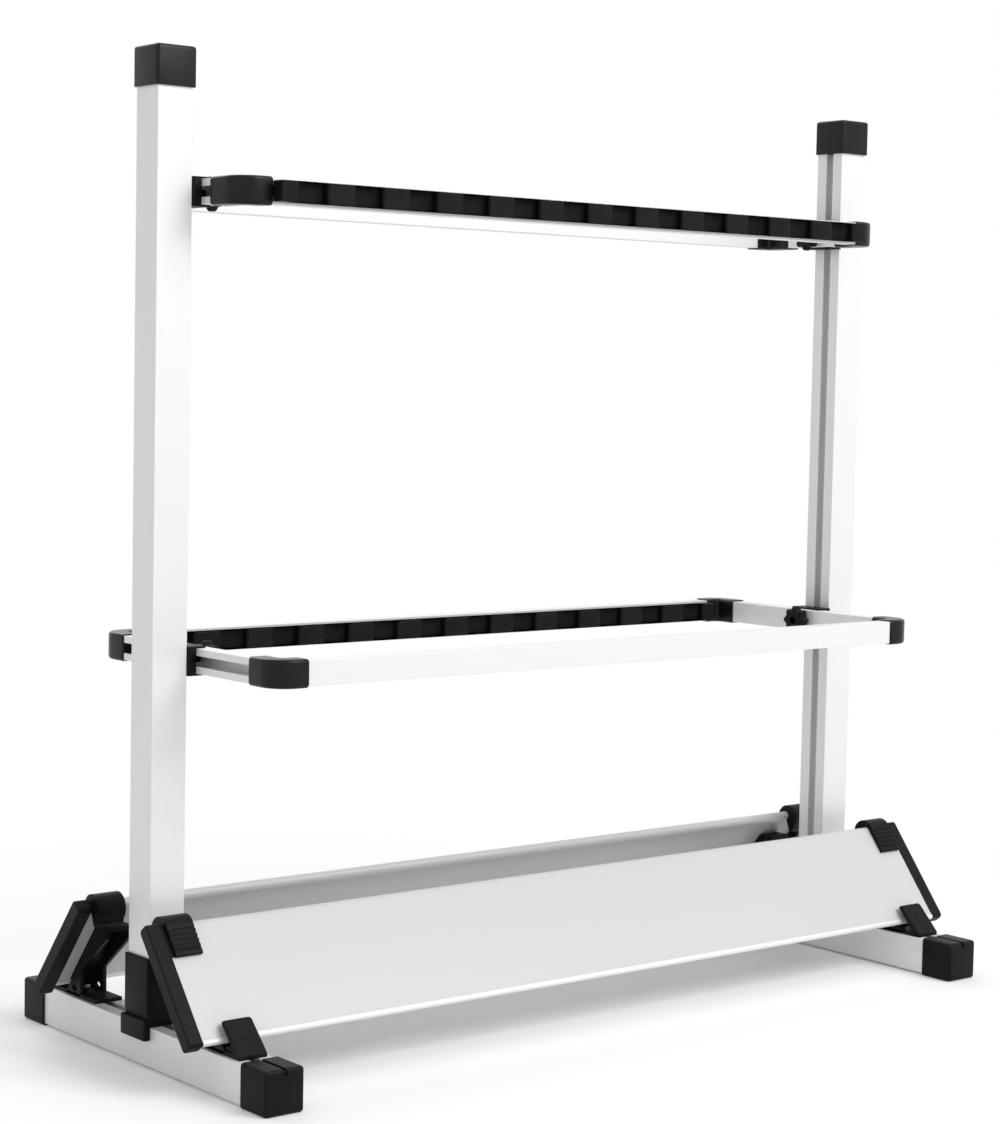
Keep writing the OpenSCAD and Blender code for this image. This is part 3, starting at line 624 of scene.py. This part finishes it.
def strip_outline():
    """Plan of a rod strip: p along it, q out from its bar."""
    half, floor_q = STRIP_LEN / 2 + STRIP_PAST, STRIP_OUT - NOTCH_DEEP
    first = -(NOTCHES - 1) / 2 * NOTCH_PITCH
    sides = [first + i * NOTCH_PITCH + k * NOTCH_W / 2 for i in range(NOTCHES) for k in (-1, 1)]
    edges = [-half] + sides + [half]
    out = [(-half, 0.0)]
    for i in range(NOTCHES + 1):
        a, b = edges[2 * i], edges[2 * i + 1]
        left, right = (TOOTH_R if i else END_R), (TOOTH_R if i < NOTCHES else END_R)
        out += arc(a + left, STRIP_OUT - left, left, 180, 90, 5)
        out += arc(b - right, STRIP_OUT - right, right, 90, 0, 5)
        if i < NOTCHES:
            out += arc(b + NOTCH_R, floor_q + NOTCH_R, NOTCH_R, 180, 270, 6)
            out += arc(b + NOTCH_W - NOTCH_R, floor_q + NOTCH_R, NOTCH_R, 270, 360, 6)
    return out + [(half, 0.0)]


def rod_strip(kind, end):
    e, f = ENDS[end], FRAMES[kind]
    face, half = slot_face(f), STRIP_H / 2
    bm = bmesh.new()
    prism(bm, strip_outline(), lambda p, q, t: (p, e * (face + f.way * q), f.z + t), -half, half)
    finish_mesh(f"{kind}_rod_strip_{end}", bm, BLACK, f"{kind}_strip_{end}", bevel=0.7, segments=3, sharp=50)


def corner_piece(kind, end, side):
    """Rounded section swept round the corner, drawn in a little at its two open ends."""
    s, e, f = SIDES[side], ENDS[end], FRAMES[kind]
    wide = BAR_D + 2 * CORNER_WALL
    # distance from the open end, and how far the section is drawn in there
    rounded_end = [(0.0, 1.15), (0.15, 0.8), (0.5, 0.42), (1.1, 0.16), (2.2, 0.0)]
    # stations: place, outward normal and how far the section is drawn in
    cx, cy = FRAME_W / 2 - CORNER_R, f.depth / 2 - CORNER_R
    path = [(FRAME_W / 2 - CORNER_X + d, f.depth / 2, 0, 1, inset) for d, inset in rounded_end]
    path += [(cx + x, cy + y, x / CORNER_R, y / CORNER_R, 0) for x, y in arc(0, 0, CORNER_R, 90, 0, 20)]
    path += [(FRAME_W / 2, f.depth / 2 - f.leg + d, 1, 0, inset) for d, inset in rounded_end[::-1]]
    bm = bmesh.new()
    rings = []
    for x, y, nx, ny, inset in path:
        ring = []
        for q, h in round_rect(0, 0, wide, CORNER_H, CORNER_ROUND):
            q, h = q + inset * (1 - 2 * q / wide), h + inset * (1 - 2 * h / CORNER_H)
            point = Vector((s * (x - nx * q), e * (y - ny * q), f.z - CORNER_H / 2 + h))
            ring.append(bm.verts.new(point * MM))
        rings.append(ring)
    skin(bm, rings)
    finish_mesh(f"{kind}_corner_piece_{end}_{side}", bm, BLACK_GLOSS, f"{kind}_corner_{end}_{side}", sharp=60)


def side_bar(kind, side):
    s, f = SIDES[side], FRAMES[kind]
    half = f.depth / 2 - CORNER_R
    bm = bmesh.new()
    prism(bm, bar_outline(), lambda p, q, t: (s * (BAR_X - BAR_D + q), t, f.z + p), -half, half)
    finish_mesh(f"{kind}_side_{side}", bm, ALU[1], f"{kind}_bar_{side}", bevel=0.35)


def clamp_block(kind, side):
    """Block between the side bar and the upright, with two flanges round the bar and a key in the slot."""
    s, z = SIDES[side], FRAMES[kind].z
    high, w, key_w = BAR_H / 2 + CLAMP_WALL, CLAMP_W / 2, SLOT / 2 - SLIDE_GAP
    back, near, front, key = (s * x for x in (BAR_X - CLAMP_REACH, BAR_X + FIT_GAP,
                                              POST_FACE - SLIDE_GAP, POST_FACE + KEY_DEEP))
    bm = bmesh.new()
    soft_box(bm, (near, -w, z - high), (front, w, z + high), 0.9, n=3)
    for k in (-1, 1):
        soft_box(bm, (back, -w, z + k * (BAR_H / 2 + FIT_GAP)), (front, w, z + k * high), 0.45, n=2)
    soft_box(bm, (front, -key_w, z - high), (key, key_w, z + high), 0.3, n=2)
    finish_mesh(f"{kind}_clamp_block_{side}", bm, BLACK, f"{kind}_clamp_{side}", sharp=60)


def star_knob(kind, side):
    """Lobed knob with a boss towards the bar, and the stud through bar and clamp into the upright's slot."""
    s, z = SIDES[side], FRAMES[kind].z
    seat = BAR_X - BAR_D - KNOB_GAP
    face = seat - KNOB_T

    def place(p, q, t):
        return s * t, p, z + q

    # height over the knob's outer face and share of the full radius
    levels = [(0, 0.72), (0.3, 0.86), (1.1, 0.96), (2.5, 1.0), (7.0, 1.0), (7.8, 0.97), (8.4, 0.9)]
    bm = bmesh.new()
    rings = []
    for up, share in levels:
        ring = []
        for a in (i * 2 * math.pi / STAR_STEPS for i in range(STAR_STEPS)):
            r = (KNOB_R - LOBE_H * (0.5 - 0.5 * math.cos(LOBES * a))) * share
            ring.append(bm.verts.new(Vector(place(r * math.cos(a), r * math.sin(a), face + up)) * MM))
        rings.append(ring)
    skin(bm, rings)
    stud_end = POST_FACE + STUD_IN
    turned(bm, [(0, face), (3.2, face), (3.2, face + 0.6), (0, face + 0.6)], place, 32)
    turned(bm, [(6.0, seat - 1.7), (6.0, seat - 0.2), (5.6, seat), (2.9, seat)], place, 40)
    stud = [(STUD_R, seat - 1.7), (STUD_R, stud_end - 0.4), (STUD_R - 0.4, stud_end), (0, stud_end)]
    turned(bm, stud, place, 24)
    finish_mesh(f"{kind}_star_knob_{side}", bm, BLACK, f"{kind}_knob_{side}", sharp=45)


def paint(node, material):
    """Gives a CAD node that stays in view its material."""
    slots = frame["nodes"][node].data.materials
    slots.clear()
    slots.append(material)


for side in SIDES:
    foot_section(side)
    upright_section(side)
    upright_top(side)
    socket_sleeve(side)
    for end in ENDS:
        foot_end(end, side)
for end in ENDS:
    tray_panel(end)
    for side in SIDES:
        tray_arm(end, side)
        latch_hook(end, side)
        tray_bracket(end, side)
for kind in FRAMES:
    for end in ENDS:
        rail(kind, end)
        rod_strip(kind, end)
        for side in SIDES:
            corner_piece(kind, end, side)
    for side in SIDES:
        side_bar(kind, side)
        clamp_block(kind, side)
        star_knob(kind, side)
        paint(f"{kind}_nut_{side}", ZINC)
paint("bracket_screws", ZINC_DARK)

# Floor, light and camera
WHITE = (1, 1, 1, 1)
FLOOR_HALF, GLOW_FROM, GLOW_TO = 14.0, 0.3, 0.9
scene = bpy.context.scene
scene.view_settings.view_transform = "Standard"


def math_node(nt, operation, a, b):
    node = nt.nodes.new("ShaderNodeMath")
    node.operation = operation
    nt.links.new(a, node.inputs[0])
    nt.links.new(b, node.inputs[1])
    return node.outputs[0]


def mixed(nt, share, first, second):
    """A shader that goes from the first to the second as the share goes from 0 to 1."""
    mix = nt.nodes.new("ShaderNodeMixShader")
    nt.links.new(share, mix.inputs["Fac"])
    nt.links.new(first, mix.inputs[1])
    nt.links.new(second, mix.inputs[2])
    return mix.outputs[0]


def background_share(nt):
    """1 for rays from the camera and those seen in metal or through glass, else 0."""
    rays = nt.nodes.new("ShaderNodeLightPath").outputs
    seen = math_node(nt, "MAXIMUM", rays["Is Camera Ray"], rays["Is Glossy Ray"])
    return math_node(nt, "MAXIMUM", seen, rays["Is Transmission Ray"])


def studio_world():
    """White background at strength 1, which lights the object at half of that."""
    world = bpy.data.worlds.new("studio")
    scene.world = world
    world.use_nodes = True
    nt = world.node_tree
    light = nt.nodes["Background"]
    light.inputs["Color"].default_value = WHITE
    light.inputs["Strength"].default_value = 0.5
    plain = nt.nodes.new("ShaderNodeBackground")
    plain.inputs["Color"].default_value = WHITE
    plain.inputs["Strength"].default_value = 1.0
    surface = mixed(nt, background_share(nt), light.outputs[0], plain.outputs[0])
    nt.links.new(surface, nt.nodes["World Output"].inputs["Surface"])


def pale_floor():
    """Floor that takes the shadow near the object and fades into the background farther out."""
    bm = bmesh.new()
    bmesh.ops.create_grid(bm, x_segments=1, y_segments=1, size=FLOOR_HALF)
    me = bpy.data.meshes.new("floor")
    bm.to_mesh(me)
    bm.free()
    floor = bpy.data.objects.new("floor", me)
    scene.collection.objects.link(floor)
    m, nt, p = new_material("floor_pale")
    p.inputs["Base Color"].default_value = (0.96, 0.96, 0.96, 1)
    p.inputs["Roughness"].default_value = 0.9
    co = nt.nodes.new("ShaderNodeTexCoord")
    distance = nt.nodes.new("ShaderNodeVectorMath")
    distance.operation = "LENGTH"
    nt.links.new(co.outputs["Object"], distance.inputs[0])
    fade = nt.nodes.new("ShaderNodeMapRange")
    fade.inputs["From Min"].default_value = GLOW_FROM
    fade.inputs["From Max"].default_value = GLOW_TO
    nt.links.new(distance.outputs["Value"], fade.inputs["Value"])
    glow = nt.nodes.new("ShaderNodeEmission")
    glow.inputs["Color"].default_value = WHITE
    glow.inputs["Strength"].default_value = 1.0
    share = math_node(nt, "MULTIPLY", fade.outputs["Result"], background_share(nt))
    surface = mixed(nt, share, p.outputs["BSDF"], glow.outputs["Emission"])
    nt.links.new(surface, nt.nodes["Material Output"].inputs["Surface"])
    me.materials.append(m)


def area_light(name, at, aim, size, power):
    data = bpy.data.lights.new(name, "AREA")
    data.shape, data.size, data.energy = "SQUARE", size, power
    ob = bpy.data.objects.new(name, data)
    ob.location = at
    ob.rotation_mode = "QUATERNION"
    ob.rotation_quaternion = (Vector(aim) - Vector(at)).to_track_quat("-Z", "Y")
    scene.collection.objects.link(ob)


# camera, solved from the right angles in the photograph, in metres and in the photograph's pixels
YAW, TILT, ROLL = math.radians(39.2), math.radians(4.17), math.radians(-1.15)
CAMERA_AT = (-1.37085, -1.64073, 0.52387)
FOCAL_PX, PHOTO_H, SENSOR = 2567.05, 1124.0, 36.0


def photo_camera():
    data = bpy.data.cameras.new("camera")
    data.sensor_width, data.sensor_fit = SENSOR, "AUTO"
    data.lens = FOCAL_PX * SENSOR / PHOTO_H
    data.clip_start, data.clip_end = 0.05, 60.0
    ahead = Vector((math.sin(YAW) * math.cos(TILT), math.cos(YAW) * math.cos(TILT), -math.sin(TILT)))
    level = Vector((math.cos(YAW), -math.sin(YAW), 0))
    down = ahead.cross(level)
    right = level * math.cos(ROLL) + down * math.sin(ROLL)
    up = level * math.sin(ROLL) - down * math.cos(ROLL)
    turn = Matrix((right, up, -ahead)).transposed().to_4x4()
    cam = bpy.data.objects.new("camera", data)
    cam.matrix_world = Matrix.Translation(Vector(CAMERA_AT)) @ turn
    scene.collection.objects.link(cam)
    scene.camera = cam


studio_world()
pale_floor()
area_light("key", at=(0.9, -2.6, 2.4), aim=(0, 0, 0.35), size=1.8, power=73)
area_light("fill", at=(-2.8, -0.6, 1.6), aim=(0, 0, 0.35), size=2.0, power=3)
area_light("back", at=(0.4, 2.6, 2.2), aim=(0, 0, 0.4), size=1.8, power=20)
area_light("top", at=(0, 0, 3.2), aim=(0, 0, 0), size=2.6, power=18)
photo_camera()
